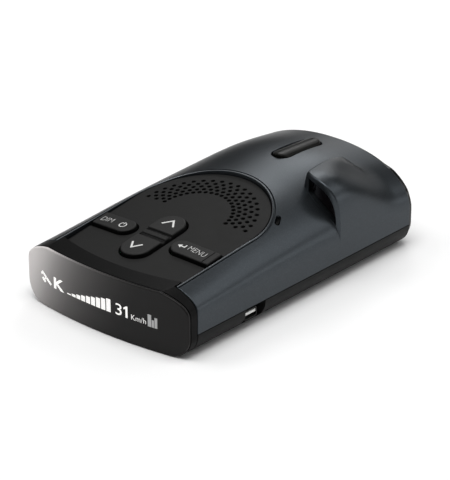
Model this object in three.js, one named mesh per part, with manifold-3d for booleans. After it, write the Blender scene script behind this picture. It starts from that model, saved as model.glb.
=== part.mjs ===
// A windscreen radar detector: two-part case, bowed display face, sunken keypad with a
// speaker grille, raised rear laser sensor, bracket socket with a release button, and the
// boards, horn antenna and speaker inside.
// Millimetres. +X is the driver's right, -Y faces the driver, +Y the windscreen, +Z up.
// The origin is on the underside, below the middle of the case.
import * as THREE from 'three';
import { mergeVertices } from 'three/addons/utils/BufferGeometryUtils.js';
import Module from 'manifold-3d';

// ---- driving dimensions ----
const HALF_W = 34;              // half width of the case
const FRONT_Y = -58.4;          // middle of the display face
const REAR_Y = 58.4;            // middle of the rear end
const FACE_BOW = 0.003;         // how the face curves back, per mm squared from the middle
const REAR_BOW = 0.0012;        // how the rear end curves forward
const FACE_LEAN = 0.2;          // the foot of the face stands this far behind its top edge
const FACE_TOP = 20.7;          // height of the face's flat top edge
const BOTTOM_R = 7.1;           // radius along the bottom side edges
const SHOULDER_Z = 13.6;        // top of the upright side walls
const CREST = [[-60, 22.2], [-40, 24.7], [-15, 28.2], [12, 30.6], [36, 31.8], [60, 28.9]];
const WALL = 2;                 // case wall
const SPLIT_Z = 7.5;            // parting plane of the two case halves
const GAP = 0.3;                // between neighbouring pieces
const WINDOW_T = 0.9;           // display window thickness
const SHELL_FRONT = -50.6;      // front edge of the painted case
const END_CAP_T = 1.8;          // rear end cap thickness
const END_CAP_IN = 0.7;         // the cap stands in from the case's edge, except at its shoulders
// Keypad panel: a plate sunk into a U-shaped opening, tilted up towards the rear.
const U_HALF = 25.2;            // half width of the opening
const U_END_Y = -14.7;          // centre of the opening's round rear end
const PANEL_Y = -33;            // where the tilted keypad frame is anchored
const PANEL_Z = 23.3;
const PANEL_TILT = Math.atan(0.1376);
const PANEL_CROWN = 0.0026;     // fall per mm squared from the middle
const PANEL_T = 1.8;
const KEY_RISE = 1.25;          // keys above the panel
const KEY_GAP = 0.35;
const KEY_TRAVEL = 0.5;
const KEY_DEPTH = 3.5;          // half the front-to-rear size of the side keys
const KEY_INNER = 8.4;          // inner round end of the side keys
const KEY_OUTER = 24.3;
const ROCKER_W = 5.1;           // half width of the rocker
const ROCKER_L = 12.9;          // half length of the rocker
const ROCKER_DIP = 0.8;         // saddle between its two pads
// Speaker grille: five rings of holes round the centre of the round end.
const HOLE_R = 0.72;
const RING_R = [13, 14.9, 16.8, 18.7, 20.6];
// Release button and bracket socket.
const PILL_Y = 37.2;
const PILL_HALF = 7.4;          // half the distance between its end centres
const PILL_R = 3.2;
const SOCKET = { halfW: 9.5, low: 19, high: 23.8, front: 34, wall: 1.2 };
const LATCH = { y0: 41.2, y1: 44.2, legX: 11.8, top: 27.6, foot: 16.2, tooth: 20 };
// Rear laser sensor hood on the right shoulder. Its front is open; its ridge line starts at
// x = ridge, drifts to the left by flare per mm, and drops away over the flank.
const HOOD = { ridge: 20.5, flare: 0.2, flank: 1.8, centre: 19, top: 34.8, frontY: 17.5, endY: 44 };
const MOUTH = { left: 21, right: 32.6, top: 33, depth: 4.6 };
const USB = { y: -25.1, z: 4.8, halfY: 3, halfZ: 1.6, x0: 24.6, x1: 33.1 };
const PORT = { y0: -28.45, y1: -18.95, z0: 2.1 };  // recess in the side wall round the USB socket
const SCREWS = [[-27.8, -42], [27.8, -42], [-27.8, 44], [27.8, 44]];
const BOARD_Z = 6.9;            // underside of the main board

// ---- booleans and meshes ----
const wasm = await Module();
wasm.setup();

function solid(geometry) {
  const g = geometry.clone();
  for (const name of Object.keys(g.attributes)) if (name !== 'position') g.deleteAttribute(name);
  const merged = mergeVertices(g, 1e-4);
  return new wasm.Manifold(new wasm.Mesh({
    numProp: 3,
    vertProperties: Float32Array.from(merged.attributes.position.array),
    triVerts: Uint32Array.from(merged.index.array),
  }));
}

function geometryOf(shape) {
  const mesh = shape.getMesh();
  const g = new THREE.BufferGeometry();
  g.setAttribute('position', new THREE.BufferAttribute(mesh.vertProperties, 3));
  g.setIndex(new THREE.BufferAttribute(mesh.triVerts, 1));
  g.computeVertexNormals();
  return g;
}

const union = (first, ...rest) => rest.reduce((a, b) => a.add(b), first);
const without = (first, ...rest) => rest.reduce((a, b) => a.subtract(b), first);

// A box solid between two corners.
function box(x0, x1, y0, y1, z0, z1) {
  const g = new THREE.BoxGeometry(x1 - x0, y1 - y0, z1 - z0);
  g.translate((x0 + x1) / 2, (y0 + y1) / 2, (z0 + z1) / 2);
  return solid(g);
}

// An upright cylinder or cone frustum solid.
function post(x, y, z0, z1, r, sides = 20, rTop = r) {
  const g = new THREE.CylinderGeometry(rTop, r, z1 - z0, sides);
  g.rotateX(Math.PI / 2);
  g.translate(x, y, (z0 + z1) / 2);
  return solid(g);
}

// A plan outline (array of [x, y]) raised from z0 to z1.
function prism(outline, z0, z1) {
  const shape = new THREE.Shape(outline.map(([x, y]) => new THREE.Vector2(x, y)));
  const g = new THREE.ExtrudeGeometry(shape, { depth: z1 - z0, bevelEnabled: false });
  g.translate(0, 0, z0);
  return solid(g);
}

// ---- outer surfaces ----
// Smooth curve through the points of a profile table.
function profile(table) {
  const slopes = table.map((p, i) => {
    const a = table[Math.max(i - 1, 0)];
    const b = table[Math.min(i + 1, table.length - 1)];
    return (b[1] - a[1]) / (b[0] - a[0]);
  });
  return (v) => {
    let i = 0;
    while (i < table.length - 2 && v > table[i + 1][0]) i += 1;
    const [x0, z0] = table[i];
    const [x1, z1] = table[i + 1];
    const h = x1 - x0;
    const t = (v - x0) / h;
    const a = z0 * (1 + 2 * t) * (1 - t) ** 2 + z1 * t * t * (3 - 2 * t);
    return a + h * (slopes[i] * t * (1 - t) ** 2 - slopes[i + 1] * t * t * (1 - t));
  };
}

const crest = profile(CREST);
const along = (y) => Math.min(1, Math.max(0, (y + 60) / 120));
const smooth = (t) => { const c = Math.min(1, Math.max(0, t)); return c * c * (3 - 2 * c); };

// Arched section of the case top: square-shouldered at the front, round at the rear.
function arch(x, top, n, m) {
  const u = Math.min(1, Math.abs(x) / HALF_W);
  return SHOULDER_Z + (top - SHOULDER_Z) * Math.max(0, 1 - u ** n) ** (1 / m);
}
const topZ = (x, y) => arch(x, crest(y), 2.4 - 0.3 * along(y), 2.55 - 0.6 * along(y));
const bottomZ = (x) => {
  const over = Math.max(0, Math.abs(x) - (HALF_W - BOTTOM_R));
  return BOTTOM_R - Math.sqrt(Math.max(0, BOTTOM_R ** 2 - over ** 2));
};
const faceY = (x) => FRONT_Y + FACE_BOW * x * x;
const rearY = (x) => REAR_Y - REAR_BOW * x * x;
const panelFrontY = (x) => -50.8 + 0.0058 * x * x;
// The glossy band behind the face is flat from side to side until it meets the arch.
const faceZ = (x, y) => Math.min(topZ(x, y), FACE_TOP + 0.06 * (y - FRONT_Y));
// Front edge of the sensor hood: nearly square across, bowed forward in the middle.
const rimY = (x) => 16.1 + 0.042 * (Math.min(35, Math.max(HOOD.centre, x)) - 27) ** 2;
// Section of the hood at its front: flat to the left of its centre, rounding down to the side.
function hoodSection(x, halfW, top, n) {
  const u = Math.min(1, Math.max(0, x - HOOD.centre) / halfW);
  return SHOULDER_Z + (top - SHOULDER_Z) * Math.max(0, 1 - u ** n) ** 0.25;
}
const ridgeX = (y) => HOOD.ridge - HOOD.flare * (y - HOOD.frontY);
// Top of the hood. It keeps its height near the ridge until it ends in a round nose at the
// rear, and fades out more slowly towards the side wall.
function hoodZ(x, y) {
  const back = Math.max(0, y - 20);
  const nose = Math.max(0, 1 - (back / (HOOD.endY - 20)) ** 2.3);
  const soft = 1 - smooth(back / 30);
  const mix = smooth((x - 17) / 9);
  const s = Math.min(1, Math.max(0, (x - ridgeX(y)) / HOOD.flank + 1));
  const flank = Math.sqrt(1 - (1 - s) ** 2);
  const rise = flank * (nose + (soft - nose) * mix);
  const base = topZ(x, y) - 0.15 * (1 - rise);
  return base + rise * (hoodSection(x, HALF_W - HOOD.centre, HOOD.top, 3) - base);
}

// x stations bunched towards the side walls.
const spread = (half, count) => Array.from({ length: count + 1 },
  (_, i) => half * Math.sin(Math.PI * (i / count - 0.5)));
const even = (a, b, count) => Array.from({ length: count + 1 }, (_, i) => a + (b - a) * i / count);

// A closed solid between two height surfaces, over x stations and from ya(x) to yb(x).
// With lean, the front edge falls back towards its foot; skew moves the x stations with y.
function slab({ xs, ya, yb, steps, low, high, lean = 0, skew = (x) => x }) {
  const points = [];
  const rows = steps + 1;
  for (const surface of [low, high]) {
    for (const station of xs) {
      for (let j = 0; j < rows; j += 1) {
        const t = j / steps;
        const y = ya(station) + (yb(station) - ya(station)) * t;
        const x = skew(station, y);
        const z = surface(x, y);
        points.push(x, y + lean * (1 - t) * (1 - z / FACE_TOP), z);
      }
    }
  }
  const at = (layer, i, j) => (layer * xs.length + i) * rows + j;
  const faces = [];
  const quad = (a, b, c, d) => faces.push(a, b, c, a, c, d);
  for (let i = 0; i < xs.length - 1; i += 1) {
    for (let j = 0; j < steps; j += 1) {
      quad(at(1, i, j), at(1, i + 1, j), at(1, i + 1, j + 1), at(1, i, j + 1));
      quad(at(0, i, j), at(0, i, j + 1), at(0, i + 1, j + 1), at(0, i + 1, j));
    }
    quad(at(0, i, 0), at(0, i + 1, 0), at(1, i + 1, 0), at(1, i, 0));
    quad(at(0, i, steps), at(1, i, steps), at(1, i + 1, steps), at(0, i + 1, steps));
  }
  const last = xs.length - 1;
  for (let j = 0; j < steps; j += 1) {
    quad(at(0, 0, j), at(1, 0, j), at(1, 0, j + 1), at(0, 0, j + 1));
    quad(at(0, last, j), at(0, last, j + 1), at(1, last, j + 1), at(1, last, j));
  }
  const g = new THREE.BufferGeometry();
  g.setAttribute('position', new THREE.BufferAttribute(Float32Array.from(points), 3));
  g.setIndex(faces);
  return solid(g);
}

// The case body shrunk inwards by inset, from ya(x) to yb(x).
function body(inset, ya, yb, { steps = 14, count = 24, top = topZ, lean = 0 } = {}) {
  const scale = HALF_W / (HALF_W - inset);
  return slab({
    xs: spread(HALF_W - inset, count),
    ya,
    yb,
    steps,
    lean,
    low: (x) => bottomZ(x * scale) + inset,
    high: (x, y) => top(x * scale, y) - inset,
  });
}

// ---- plan outlines ----
// The keypad opening: straight sides and a round rear end.
function uOutline(half, front, endY, sides = 36, stretch = 1) {
  const arc = even(0, Math.PI, sides).map((a) => [half * Math.cos(a), endY + half * stretch * Math.sin(a)]);
  return [[-half, front], [half, front], ...arc];
}

// A slot with round ends along Y.
function stadium(cx, cy, r, half, sides = 12) {
  const end = (sign) => even(0, Math.PI, sides)
    .map((a) => [cx + sign * r * Math.cos(a), cy + sign * (half + r * Math.sin(a))]);
  return [...end(1), ...end(-1)];
}

// A side key: bowed front and rear edges, round inner end; side is -1 (left) or 1 (right).
function keyOutline(side, grow) {
  const centreY = (x) => -0.4 + 0.0024 * x * x;
  const r = KEY_DEPTH + grow;
  const cx = KEY_INNER + KEY_DEPTH;
  const outer = KEY_OUTER + (grow > 0 ? 3 : 0);
  const xs = even(outer, cx, 5);
  const front = xs.map((x) => [x, centreY(x) - r]);
  const rear = [...xs].reverse().map((x) => [x, centreY(x) + r]);
  const arc = even(-Math.PI / 2, -1.5 * Math.PI, 12).slice(1, -1)
    .map((a) => [cx + r * Math.cos(a), centreY(cx) + r * Math.sin(a)]);
  const points = [...front, ...arc, ...rear];
  return side > 0 ? points.reverse() : points.map(([x, y]) => [-x, y]);
}

// ---- scene graph ----
const group = new THREE.Group();
const finish = {
  paint: { color: 0x464b50, roughness: 0.38, metalness: 0.55 },
  black: { color: 0x151515, roughness: 0.45, metalness: 0 },
  gloss: { color: 0x0b0b0c, roughness: 0.12, metalness: 0 },
  matte: { color: 0x2b2b2a, roughness: 0.75, metalness: 0 },
  steel: { color: 0xb9bcc0, roughness: 0.3, metalness: 1 },
  board: { color: 0x1d4a2f, roughness: 0.6, metalness: 0 },
  cast: { color: 0x9a9da1, roughness: 0.45, metalness: 0.9 },
  ceramic: { color: 0xd8cfb8, roughness: 0.5, metalness: 0 },
  paper: { color: 0x1a1a1a, roughness: 0.9, metalness: 0 },
  brass: { color: 0xc9a14a, roughness: 0.35, metalness: 1 },
};

function add(name, shape, look, parent = group) {
  const geometry = shape.isBufferGeometry ? shape : geometryOf(shape);
  const mesh = new THREE.Mesh(geometry, new THREE.MeshStandardMaterial(finish[look]));
  mesh.name = name;
  parent.add(mesh);
  return mesh;
}

// ---- case ----
const inside = body(WALL, () => -80, () => 80, { steps: 12 });
const shellFront = () => SHELL_FRONT;
const shellRear = (x) => rearY(x) - END_CAP_T;
const opening = prism(uOutline(U_HALF, -70, U_END_Y), 12, 40);

// The sensor hood stands on the shoulder, with its flank stations following the ridge line.
const flankX = even(0, 1, 6).map((t) => HOOD.ridge - HOOD.flank * (1 - t * t * (3 - 2 * t)));
const hood = slab({
  xs: [...flankX, ...even(HOOD.ridge, 31, 8).slice(1), 32, 32.9, 33.5, HALF_W],
  ya: rimY,
  yb: () => 50,
  steps: 14,
  skew: (x, y) => x - HOOD.flare * (y - HOOD.frontY) * (HALF_W - x) / (HALF_W - HOOD.ridge),
  low: (x, y) => Math.max(SHOULDER_Z - 1, topZ(x, y) - 1.8),
  high: (x, y) => Math.max(SHOULDER_Z, hoodZ(x, y)),
});
// The mouth: open to the front, on a low sill above the case.
const mouth = (shrink, front, back) => slab({
  xs: even(0, Math.PI / 2, 14)
    .map((a) => MOUTH.left + shrink + (MOUTH.right - MOUTH.left - 2 * shrink) * Math.sin(a)),
  ya: (x) => rimY(x) + front,
  yb: (x) => rimY(x) + back,
  steps: 2,
  low: (x, y) => topZ(x, Math.max(y, rimY(x))) + 0.25 + shrink,
  high: (x) => Math.max(
    hoodSection(x, MOUTH.right + 0.1 - shrink - HOOD.centre, MOUTH.top, 2.7) - shrink,
    topZ(x, rimY(x)) + 0.45 + shrink,
  ),
});

const upperBosses = SCREWS.map(([x, y]) => post(x, y, 8.9, topZ(Math.abs(x) + 2.5, y) - 0.4, 2.5));
const upperShell = without(
  union(
    without(
      union(body(0, shellFront, shellRear), hood.subtract(inside)),
      inside,
      box(-40, 40, -70, 70, -1, SPLIT_Z + GAP / 2),
      opening,
    ),
    ...upperBosses,
  ),
  mouth(0, -2, MOUTH.depth),
  prism(stadium(0, PILL_Y, PILL_R + 0.5, PILL_HALF), 20, 40),
  prism(stadium(0, 0, 0.8, 1.5).map(([x, y]) => [24.1 + x * 0.86 + y * -0.5, -1.4 + y * 0.86 + x * 0.5]), 15, 40),
  ...SCREWS.map(([x, y]) => post(x, y, 0, 17, 1.35, 12)),
);
add('upper_shell', upperShell, 'paint');

const trough = { steps: 2, count: 28, top: () => 20 };
const lowerShell = without(
  union(
    without(
      body(0, shellFront, shellRear, trough),
      body(WALL, () => -80, () => 80, trough),
      box(-40, 40, -70, 70, SPLIT_Z - GAP / 2, 60),
    ),
    ...SCREWS.map(([x, y]) => post(x, y, 1.3, BOARD_Z - GAP, 3)),
  ),
  box(24, 36, PORT.y0, PORT.y1, PORT.z0, SPLIT_Z),
  ...SCREWS.map(([x, y]) => union(post(x, y, -1, 2.6, 2.5), post(x, y, 0, 17, 1.45, 12))),
);
add('lower_shell', lowerShell, 'black');

const capSlot = box(-SOCKET.halfW, SOCKET.halfW, 50, 62, SOCKET.low, SOCKET.high);
const capTop = (x, y) => {
  const a = Math.abs(x);
  return topZ(x, y) + END_CAP_IN * smooth((a - 21) / 5) * (1 - smooth((a - 32) / 1.8));
};
add('end_cap', without(
  body(END_CAP_IN, (x) => shellRear(x) + GAP, rearY, { steps: 2, top: capTop }),
  capSlot,
), 'gloss');

// ---- display face ----
const windowBack = (x) => faceY(x) + WINDOW_T;
add('display_window', body(0.05, faceY, windowBack, { steps: 2, count: 28, top: faceZ, lean: FACE_LEAN }), 'gloss');

const bezelOuter = union(
  body(0, (x) => windowBack(x) + GAP, () => SHELL_FRONT - GAP, { steps: 2, count: 28, top: faceZ, lean: FACE_LEAN }),
  slab({
    xs: even(-24.8, 24.8, 14),
    ya: () => -53,
    yb: (x) => panelFrontY(x) - GAP,
    steps: 3,
    low: () => 17,
    high: faceZ,
  }),
);
const bezelHole = body(2.1, () => -70, () => -40, { steps: 1, top: (x) => Math.min(topZ(x, -55), 20.2) });
add('front_bezel', bezelOuter.subtract(bezelHole), 'gloss');

add('display_module', box(-24, 24, -53.2, -51.2, 3.2, 17.6), 'gloss');
add('display_board', box(-26, 26, -50.8, -49.4, 2.8, 16.6), 'board');

// ---- keypad panel, keys and their board, in the tilted frame ----
const keypad = new THREE.Group();
keypad.position.set(0, PANEL_Y, PANEL_Z);
keypad.rotation.x = PANEL_TILT;
group.add(keypad);

const tilted = (y) => (y - PANEL_Y) / Math.cos(PANEL_TILT);
const panelTop = (x) => -PANEL_CROWN * x * x;
const crowned = (low, high, half = 27, from = -20, to = 46) => slab({
  xs: even(-half, half, 16),
  ya: () => from,
  yb: () => to,
  steps: 1,
  low: (x) => panelTop(x) + low,
  high: (x) => panelTop(x) + high,
});
const panelPlate = slab({
  xs: even(-27, 27, 12),
  ya: (x) => tilted(panelFrontY(x)),
  yb: () => 46,
  steps: 1,
  low: (x) => panelTop(x) - PANEL_T,
  high: panelTop,
});
const panelOutline = uOutline(U_HALF - KEY_GAP, -22, tilted(U_END_Y), 32, 1.012);
const holes = [];
RING_R.forEach((r, ring) => {
  const count = ring % 2 ? 19 : 20;
  for (let i = 0; i < count; i += 1) {
    const a = Math.PI * (i + (ring % 2 ? 1 : 0.5)) / 20;
    holes.push(post(r * Math.cos(a), tilted(U_END_Y) + r * Math.sin(a), -6, 2, HOLE_R, 6));
  }
});
const rockerOutline = (grow) => stadium(0, 0, ROCKER_W + grow, ROCKER_L - ROCKER_W, 14);
const panel = without(
  panelPlate.intersect(prism(panelOutline, -8, 4)),
  prism(keyOutline(-1, KEY_GAP), -8, 4),
  prism(keyOutline(1, KEY_GAP), -8, 4),
  prism(rockerOutline(KEY_GAP), -8, 4),
  ...holes,
);
add('keypad_panel', panel, 'matte', keypad);

const keyCap = crowned(-PANEL_T - 0.2, KEY_RISE);
for (const [name, side] of [['power_button', -1], ['menu_button', 1]]) {
  const stem = post(side * 15, 0, -3.4, -1, 1.4, 12);
  add(name, keyCap.intersect(prism(keyOutline(side, 0), -8, 4)).add(stem), 'matte', keypad);
}
const saddle = box(-9, 9, -2.4, 2.4, KEY_RISE - ROCKER_DIP, 4);
const rocker = union(
  keyCap.intersect(prism(rockerOutline(0), -8, 4)).subtract(saddle),
  post(0, 8.2, -3.4, -1, 1.4, 12),
  post(0, -8.2, -3.4, -1, 1.4, 12),
);
add('rocker_key', rocker, 'matte', keypad);

const BOARD_TOP = -6.2;
add('keypad_board', box(-22, 22, -13.5, 12, BOARD_TOP - 1.2, BOARD_TOP), 'board', keypad);
for (const [name, x, y] of [['switch_power', -15, 0], ['switch_menu', 15, 0], ['switch_up', 0, 8.2],
  ['switch_down', 0, -8.2]]) {
  const base = box(x - 2.6, x + 2.6, y - 2.6, y + 2.6, BOARD_TOP + GAP, BOARD_TOP + 1.4);
  const plunger = post(x, y, BOARD_TOP + 1, -3.4 - KEY_TRAVEL - 0.15, 1.2, 12);
  add(name, base.add(plunger), 'steel', keypad);
}

// ---- speaker under the grille ----
const SPEAKER = { y: 2.6, r: 14, z: 17 };
const turned = (points, sides = 28) => {
  const g = new THREE.LatheGeometry(points.map(([r, z]) => new THREE.Vector2(r, z)), sides);
  g.rotateX(Math.PI / 2);
  return geometryOf(solid(g));
};
const speaker = new THREE.Group();
speaker.position.set(0, -4, 23.6);
speaker.rotation.x = PANEL_TILT;
group.add(speaker);
add('speaker_frame', turned([[5.3, -4.4], [6.6, -4.4], [11.4, -1.6], [SPEAKER.r, -1.6], [SPEAKER.r, 0],
  [12.9, 0], [12.9, -0.9], [10.9, -0.9], [5.3, -3.6], [5.3, -4.4]]), 'steel', speaker);
add('speaker_cone', turned([[0, -1.9], [3.6, -2.9], [9.8, -0.55], [11.3, -0.1], [12.5, -0.5], [12.5, -0.1],
  [11.3, 0.3], [9.6, -0.1], [3.6, -2.4], [0, -1.3]]), 'paper', speaker);
add('speaker_magnet', turned([[0, -7.4], [6.4, -7.4], [6.4, -4.75], [4.9, -4.75], [4.9, -3.9], [0, -3.9]]),
  'cast', speaker);

// ---- main board and what it carries ----
const board = without(
  box(-31, 31, -46.5, 53, BOARD_Z, BOARD_Z + 1.6),
  ...SCREWS.map(([x, y]) => box(x - 3.6, x + 3.6, y - 3.6, y + 3.6, 0, 20)),
);
const boardTop = BOARD_Z + 1.6 + GAP;
add('main_board', board, 'board');
add('rf_shield', box(-24, -5, -9, 10, boardTop, boardTop + 3), 'steel');
add('processor', box(6, 16, -8, 2, boardTop, boardTop + 1.2), 'black');
add('gps_patch', box(-28.6, -10.6, 13, 31, boardTop, boardTop + 4), 'ceramic');
const cell = add('backup_cell', turned([[0, 0], [5, 0], [5, 3], [0, 3]]), 'steel');
cell.position.set(20, 12, boardTop);

// The horn antenna: a cast block whose flared mouth looks forward through the end cap.
const flare = slab({
  xs: even(-7.6, 7.6, 2), ya: () => 38, yb: () => 60, steps: 1,
  low: (x, y) => 11.2 - (y - 38) * 0.07, high: (x, y) => 12 + (y - 38) * 0.07,
});
const throat = box(-4, 4, 26, 40, 10.6, 12.6);
add('horn_antenna', without(box(-9.4, 9.4, 24, 54.2, boardTop, 14.4), flare, throat), 'cast');

const shellTube = (x0, x1, y, z, hy, hz, t) => without(
  box(x0, x1, y - hy, y + hy, z - hz, z + hz),
  box(x0 - 1, x1 + 1, y - hy + t, y + hy - t, z - hz + t, z + hz - t),
);
add('usb_shell', shellTube(USB.x0, USB.x1, USB.y, USB.z, USB.halfY, USB.halfZ, 0.3), 'steel');
add('usb_tongue', box(USB.x0, USB.x1 - 0.2, USB.y - 2.5, USB.y + 2.5, USB.z - 0.1, USB.z + 0.8), 'black');

// ---- laser sensors ----
// Rear window: fills the back of the mouth.
add('rear_laser_window', mouth(GAP, 1.8, MOUTH.depth - GAP), 'gloss');
add('rear_sensor', box(20, 25, 23, 26, 18.4, 21.4), 'black');
add('front_sensor', box(18, 24, 49, 51.4, boardTop, 16), 'black');
const lens = add('front_lens', turned([[0, 0], [2.8, 0], [2.8, 0.8], [2.2, 1.6], [1.2, 2.1], [0, 2.3]], 16), 'gloss');
lens.position.set(21, 51.7, 12.5);
lens.rotation.x = -Math.PI / 2;

// ---- ambient light window beside the panel ----
const lightOutline = stadium(0, 0, 0.5, 1.5, 8)
  .map(([x, y]) => [24.1 + x * 0.86 + y * -0.5, -1.4 + y * 0.86 + x * 0.5]);
add('light_sensor_window', prism(lightOutline, 21, topZ(24.1, -1.4) - 0.6), 'gloss');

// ---- bracket socket, release button and latch ----
const { halfW, low, high, front, wall } = SOCKET;
const socket = without(
  box(-halfW - wall, halfW + wall, front - wall, 54.4, low - wall, high + wall),
  box(-halfW, halfW, front, 60, low, high),
  box(-3, 3, LATCH.y0 - 1, LATCH.y1 + 1, 15, low + 1),
);
add('bracket_socket', socket, 'black');

// The button's dome stands in the case's slot; a flange below it stops it from coming out.
const FLANGE_Z = LATCH.top + GAP;
const pillDome = slab({
  xs: even(-4, 4, 8),
  ya: () => 20,
  yb: () => 55,
  steps: 12,
  low: () => FLANGE_Z,
  high: (x, y) => crest(PILL_Y) + 0.6 - 0.05 * (y - PILL_Y) - 0.09 * x * x,
});
add('release_button', union(
  prism(stadium(0, PILL_Y, PILL_R, PILL_HALF, 14), 20, 40).intersect(pillDome),
  prism(stadium(0, PILL_Y, PILL_R + 1, PILL_HALF - 2, 14), FLANGE_Z, FLANGE_Z + 0.5),
), 'gloss');

// The latch: a frame round the socket, with a tooth that comes up through its floor.
const latchBar = (x0, x1, z0, z1) => box(x0, x1, LATCH.y0, LATCH.y1, z0, z1);
const legIn = LATCH.legX - 0.6;
const legOut = LATCH.legX + 0.6;
add('release_latch', union(
  latchBar(-legOut, legOut, LATCH.top - 1, LATCH.top),
  latchBar(-legOut, -legIn, LATCH.foot, LATCH.top),
  latchBar(legIn, legOut, LATCH.foot, LATCH.top),
  latchBar(-legOut, legOut, LATCH.foot, LATCH.foot + 1.2),
  latchBar(-2.2, 2.2, LATCH.foot + 1, LATCH.tooth),
), 'black');

// A coil spring under each leg of the latch.
class Helix extends THREE.Curve {
  getPoint(t, target = new THREE.Vector3()) {
    const a = 2 * Math.PI * 5 * t;
    return target.set(1.15 * Math.cos(a), 1.15 * Math.sin(a), 0.3 + 6.4 * t);
  }
}
const wire = new THREE.Shape(even(0, 2 * Math.PI, 4).slice(0, 4)
  .map((a) => new THREE.Vector2(0.22 * Math.cos(a), 0.22 * Math.sin(a))));
const coil = geometryOf(solid(new THREE.ExtrudeGeometry(wire, { steps: 45, extrudePath: new Helix() })));
for (const [name, side] of [['latch_spring_left', -1], ['latch_spring_right', 1]]) {
  const spring = add(name, coil.clone(), 'steel');
  spring.position.set(side * LATCH.legX, (LATCH.y0 + LATCH.y1) / 2, boardTop);
}

// ---- case screws ----
const screwProfile = [[0, 0], [2.1, 0], [2.1, 1.3], [1.1, 1.9], [1.1, 14.6], [0, 15.4]];
SCREWS.forEach(([x, y], i) => {
  const screw = add(`case_screw_${i + 1}`, turned(screwProfile, 14), 'steel');
  screw.position.set(x, y, 0.7);
});

export default group;
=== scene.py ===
# A windscreen radar detector on a pale studio floor.
# Shapes are in millimetres in the CAD frame and become metres when a mesh is made.
import math
import bpy
import numpy as np
from mathutils import Matrix, Vector


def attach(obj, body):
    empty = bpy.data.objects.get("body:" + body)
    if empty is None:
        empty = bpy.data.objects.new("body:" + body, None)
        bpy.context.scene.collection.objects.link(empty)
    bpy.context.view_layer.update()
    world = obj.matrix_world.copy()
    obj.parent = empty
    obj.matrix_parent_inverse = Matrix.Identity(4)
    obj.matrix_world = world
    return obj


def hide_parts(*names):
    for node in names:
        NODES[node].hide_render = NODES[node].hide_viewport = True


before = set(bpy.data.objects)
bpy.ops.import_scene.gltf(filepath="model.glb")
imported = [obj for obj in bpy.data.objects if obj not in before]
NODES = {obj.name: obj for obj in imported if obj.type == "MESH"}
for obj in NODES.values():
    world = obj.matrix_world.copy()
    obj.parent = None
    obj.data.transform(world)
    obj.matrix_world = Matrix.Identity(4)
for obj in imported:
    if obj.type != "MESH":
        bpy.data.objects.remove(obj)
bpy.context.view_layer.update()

MM = 0.001

# ---- dimensions, as in the CAD ----
HALF_W, FRONT_Y, REAR_Y = 34.0, -58.4, 58.4
FACE_BOW, REAR_BOW, FACE_LEAN, FACE_TOP = 0.003, 0.0012, 0.2, 20.7
BOTTOM_R, SHOULDER_Z, SPLIT_Z, WALL = 7.1, 13.6, 7.5, 2.0
CREST = [(-60, 22.2), (-40, 24.7), (-15, 28.2), (12, 30.6), (36, 31.8), (60, 28.9)]
SHELL_FRONT, END_CAP_T, END_CAP_IN, WINDOW_T, GAP = -50.6, 1.8, 0.7, 0.9, 0.3
U_HALF, U_END_Y = 25.2, -14.7
PANEL_Y, PANEL_Z, TILT = -33.0, 23.3, math.atan(0.1376)
PANEL_CROWN, PANEL_T, KEY_RISE, KEY_GAP = 0.0026, 1.8, 1.25, 0.35
KEY_R, KEY_CX, KEY_OUTER = 3.5, 11.9, 24.3
ROCKER_W, ROCKER_L = 5.1, 12.9
RINGS, HOLE_R = (13, 14.9, 16.8, 18.7, 20.6), 0.72
PILL_Y, PILL_HALF, PILL_R = 37.2, 7.4, 3.2
RIDGE, FLARE, FLANK, HOOD_MID, HOOD_TOP, HOOD_FRONT, HOOD_END = 20.5, 0.2, 1.8, 19.0, 34.8, 17.5, 44.0
MOUTH_LEFT, MOUTH_RIGHT, MOUTH_TOP, MOUTH_DEPTH = 21.0, 32.6, 33.0, 4.6
SLOT_LOW, SLOT_HIGH, SLOT_HALF = 19.0, 23.8, 9.5
SCREWS = [(-27.8, -42), (27.8, -42), (-27.8, 44), (27.8, 44)]
USB_Y, USB_Z, USB_HALF_Y, USB_HALF_Z, USB_X0, USB_X1, USB_WALL = -25.1, 4.8, 3.0, 1.6, 24.6, 33.1, 0.3
PORT_Y0, PORT_Y1, PORT_Z0 = -28.45, -18.95, 2.1
APRON_Y, APRON_BOW, APRON_HALF = -50.8, 0.0058, 24.8

# ---- finer detail than the CAD has: rounded rims and edges, and the gap that shows round the keys ----
CASE_RIM, KEY_RIM, CASE_EDGE = 0.25, 0.12, 0.3
HOLE_GAP = KEY_GAP + 0.4
PILL_GAP = 0.5
RIM_R = 0.6


# ---- surfaces ----
def profile(table):
    """Smooth curve through the points of a profile table."""
    xs, zs = np.array(table, float).T
    n = len(xs)
    lo, hi = np.maximum(np.arange(n) - 1, 0), np.minimum(np.arange(n) + 1, n - 1)
    slope = (zs[hi] - zs[lo]) / (xs[hi] - xs[lo])

    def curve(v):
        i = np.clip(np.searchsorted(xs, v, side="right") - 1, 0, n - 2)
        h = xs[i + 1] - xs[i]
        t = (v - xs[i]) / h
        return (zs[i] * (1 + 2 * t) * (1 - t) ** 2 + zs[i + 1] * t * t * (3 - 2 * t)
                + h * (slope[i] * t * (1 - t) ** 2 - slope[i + 1] * t * t * (1 - t)))
    return curve


crest = profile(CREST)


def smooth(t):
    c = np.clip(t, 0, 1)
    return c * c * (3 - 2 * c)


def arch(x, top, n, m):
    u = np.minimum(1, np.abs(x) / HALF_W)
    return SHOULDER_Z + (top - SHOULDER_Z) * np.maximum(0, 1 - u ** n) ** (1 / m)


def top_z(x, y):
    s = np.clip((y + 60) / 120, 0, 1)
    return arch(x, crest(y), 2.4 - 0.3 * s, 2.55 - 0.6 * s)


def rim_y(x):
    """The sensor hood's front edge: nearly square across, bowed forward in the middle."""
    return 16.1 + 0.042 * (np.clip(x, HOOD_MID, 35) - 27) ** 2


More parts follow.
